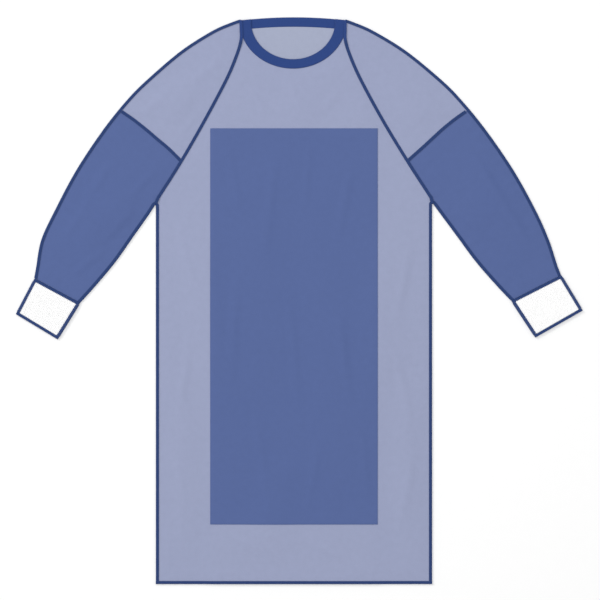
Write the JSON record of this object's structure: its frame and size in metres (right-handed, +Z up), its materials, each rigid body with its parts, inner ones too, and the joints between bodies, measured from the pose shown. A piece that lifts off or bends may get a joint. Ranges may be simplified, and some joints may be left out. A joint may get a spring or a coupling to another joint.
{
  "type": "surgical gown",
  "caption": "Raglan-sleeved surgical gown laid flat on its back, front up, with darker reinforced front and lower sleeves, knitted cuffs and navy bound seams.",
  "frame": {"origin": "centre of the bounding box at its base, on the surface that the gown lies on", "axes": "+Z up from the surface through the cloth to the front of the gown, +Y towards the neck, +X to the right as it is looked at from above"},
  "size_m": [1.2704, 1.27, 0.008],
  "materials": {
    "body_cloth": "matte nonwoven, soft sheen",
    "reinforced_cloth": "film-backed nonwoven, slight sheen",
    "navy_binding": "woven tape, matte",
    "white_knit": "ribbed knit, matte"
  },
  "bodies": {
    "root": {"front_panel": "body_cloth", "front_reinforcement": "reinforced_cloth", "back_panel_outer": "body_cloth", "back_panel_inner": "body_cloth", "neckband_front": "navy_binding", "neckband_back_outer": "navy_binding", "neckband_back_inner": "navy_binding", "hem_binding_front": "navy_binding", "hem_binding_back_outer": "navy_binding", "hem_binding_back_inner": "navy_binding", "sleeve_upper_front_left": "body_cloth", "sleeve_upper_front_right": "body_cloth", "sleeve_upper_back_left": "body_cloth", "sleeve_upper_back_right": "body_cloth", "sleeve_lower_front_left": "reinforced_cloth", "sleeve_lower_front_right": "reinforced_cloth", "sleeve_lower_back_left": "reinforced_cloth", "sleeve_lower_back_right": "reinforced_cloth", "raglan_tape_front_left": "navy_binding", "raglan_tape_front_right": "navy_binding", "raglan_tape_back_left": "navy_binding", "raglan_tape_back_right": "navy_binding", "sleeve_joint_tape_front_left": "navy_binding", "sleeve_joint_tape_front_right": "navy_binding", "sleeve_joint_tape_back_left": "navy_binding", "sleeve_joint_tape_back_right": "navy_binding", "overarm_binding_left": "navy_binding", "overarm_binding_right": "navy_binding", "side_binding_left": "navy_binding", "side_binding_right": "navy_binding", "underarm_binding_left": "navy_binding", "underarm_binding_right": "navy_binding", "cuff_seam_left": "navy_binding", "cuff_seam_right": "navy_binding", "cuff_left": "white_knit", "cuff_right": "white_knit", "cuff_edge_left": "navy_binding", "cuff_edge_right": "navy_binding"}
  },
  "joints": []
}
